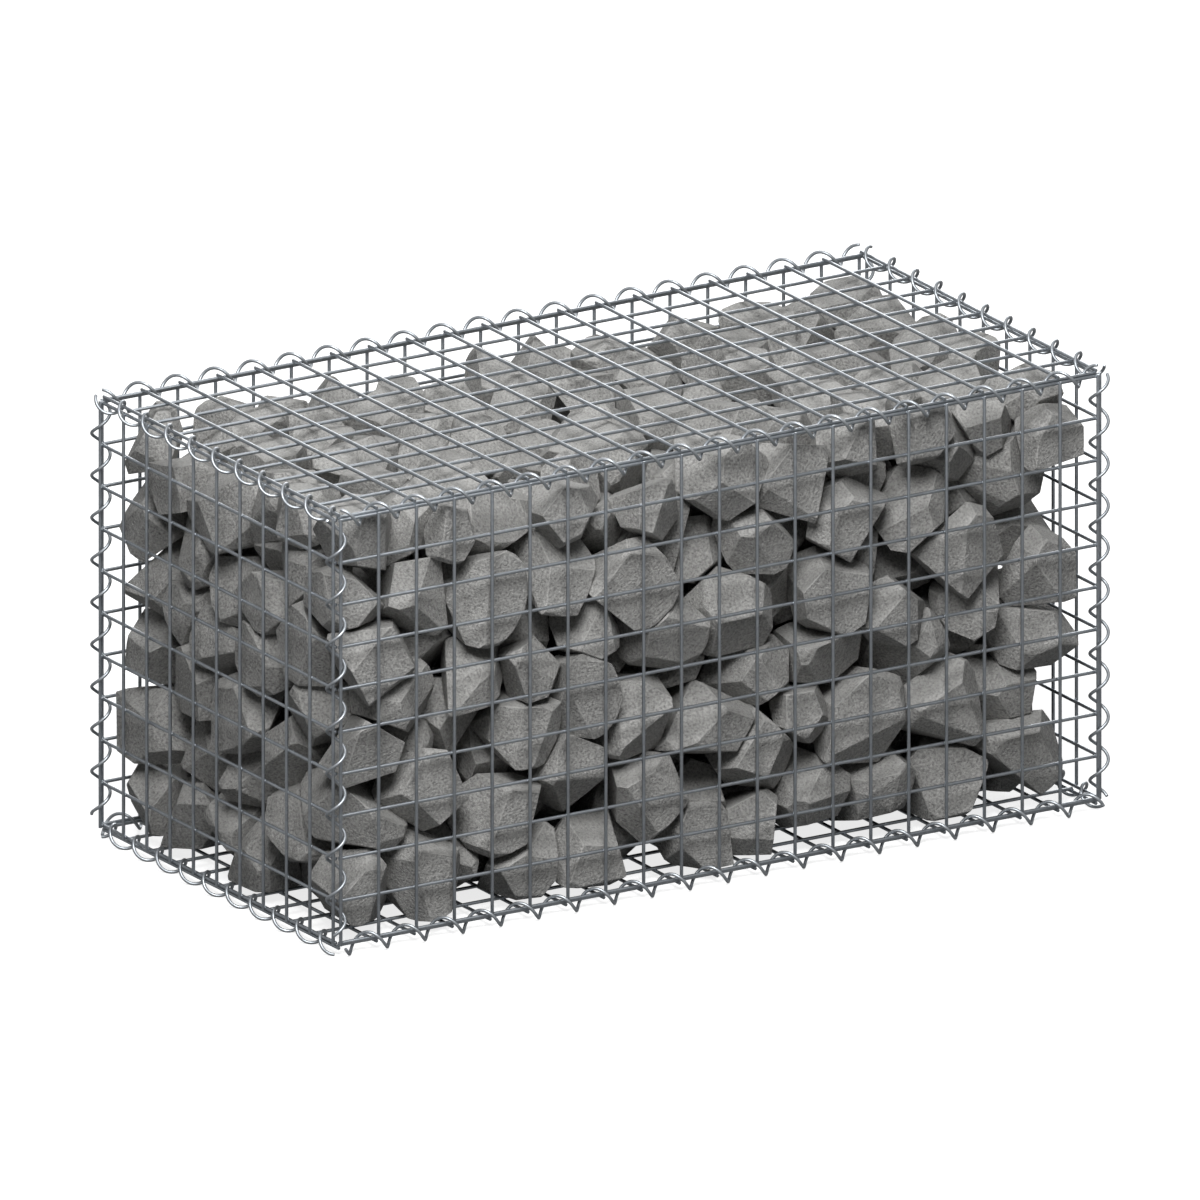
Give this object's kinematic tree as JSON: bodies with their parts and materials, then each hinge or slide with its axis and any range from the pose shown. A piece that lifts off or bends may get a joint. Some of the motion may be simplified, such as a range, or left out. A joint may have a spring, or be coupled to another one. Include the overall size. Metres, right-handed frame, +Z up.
{
  "type": "gabion wall",
  "caption": "Gabion wall unit: a welded wire mesh basket, laced along its edges with spiral binders and filled with broken stone.",
  "frame": {"origin": "middle of the underside, on the ground", "axes": "+X along the front, to the right end; +Y from the front to the back; +Z up"},
  "size_m": [1.0336, 0.5358, 0.5305],
  "materials": {
    "mesh_wire": "galvanised, satin",
    "binder_wire": "galvanised, satin",
    "stone": "rough broken faces"
  },
  "bodies": {
    "root": {"front_panel": "mesh_wire", "back_panel": "mesh_wire", "left_panel": "mesh_wire", "right_panel": "mesh_wire", "base_panel": "mesh_wire", "lid_panel": "mesh_wire", "spiral_front_top": "binder_wire", "spiral_front_bottom": "binder_wire", "spiral_back_top": "binder_wire", "spiral_back_bottom": "binder_wire", "spiral_left_top": "binder_wire", "spiral_left_bottom": "binder_wire", "spiral_right_top": "binder_wire", "spiral_right_bottom": "binder_wire", "spiral_front_left": "binder_wire", "spiral_front_right": "binder_wire", "spiral_back_left": "binder_wire", "spiral_back_right": "binder_wire", "stone_course_1": "stone", "stone_course_2": "stone", "stone_course_3": "stone", "stone_course_4": "stone", "stone_course_5": "stone", "stone_course_6": "stone"}
  },
  "joints": []
}
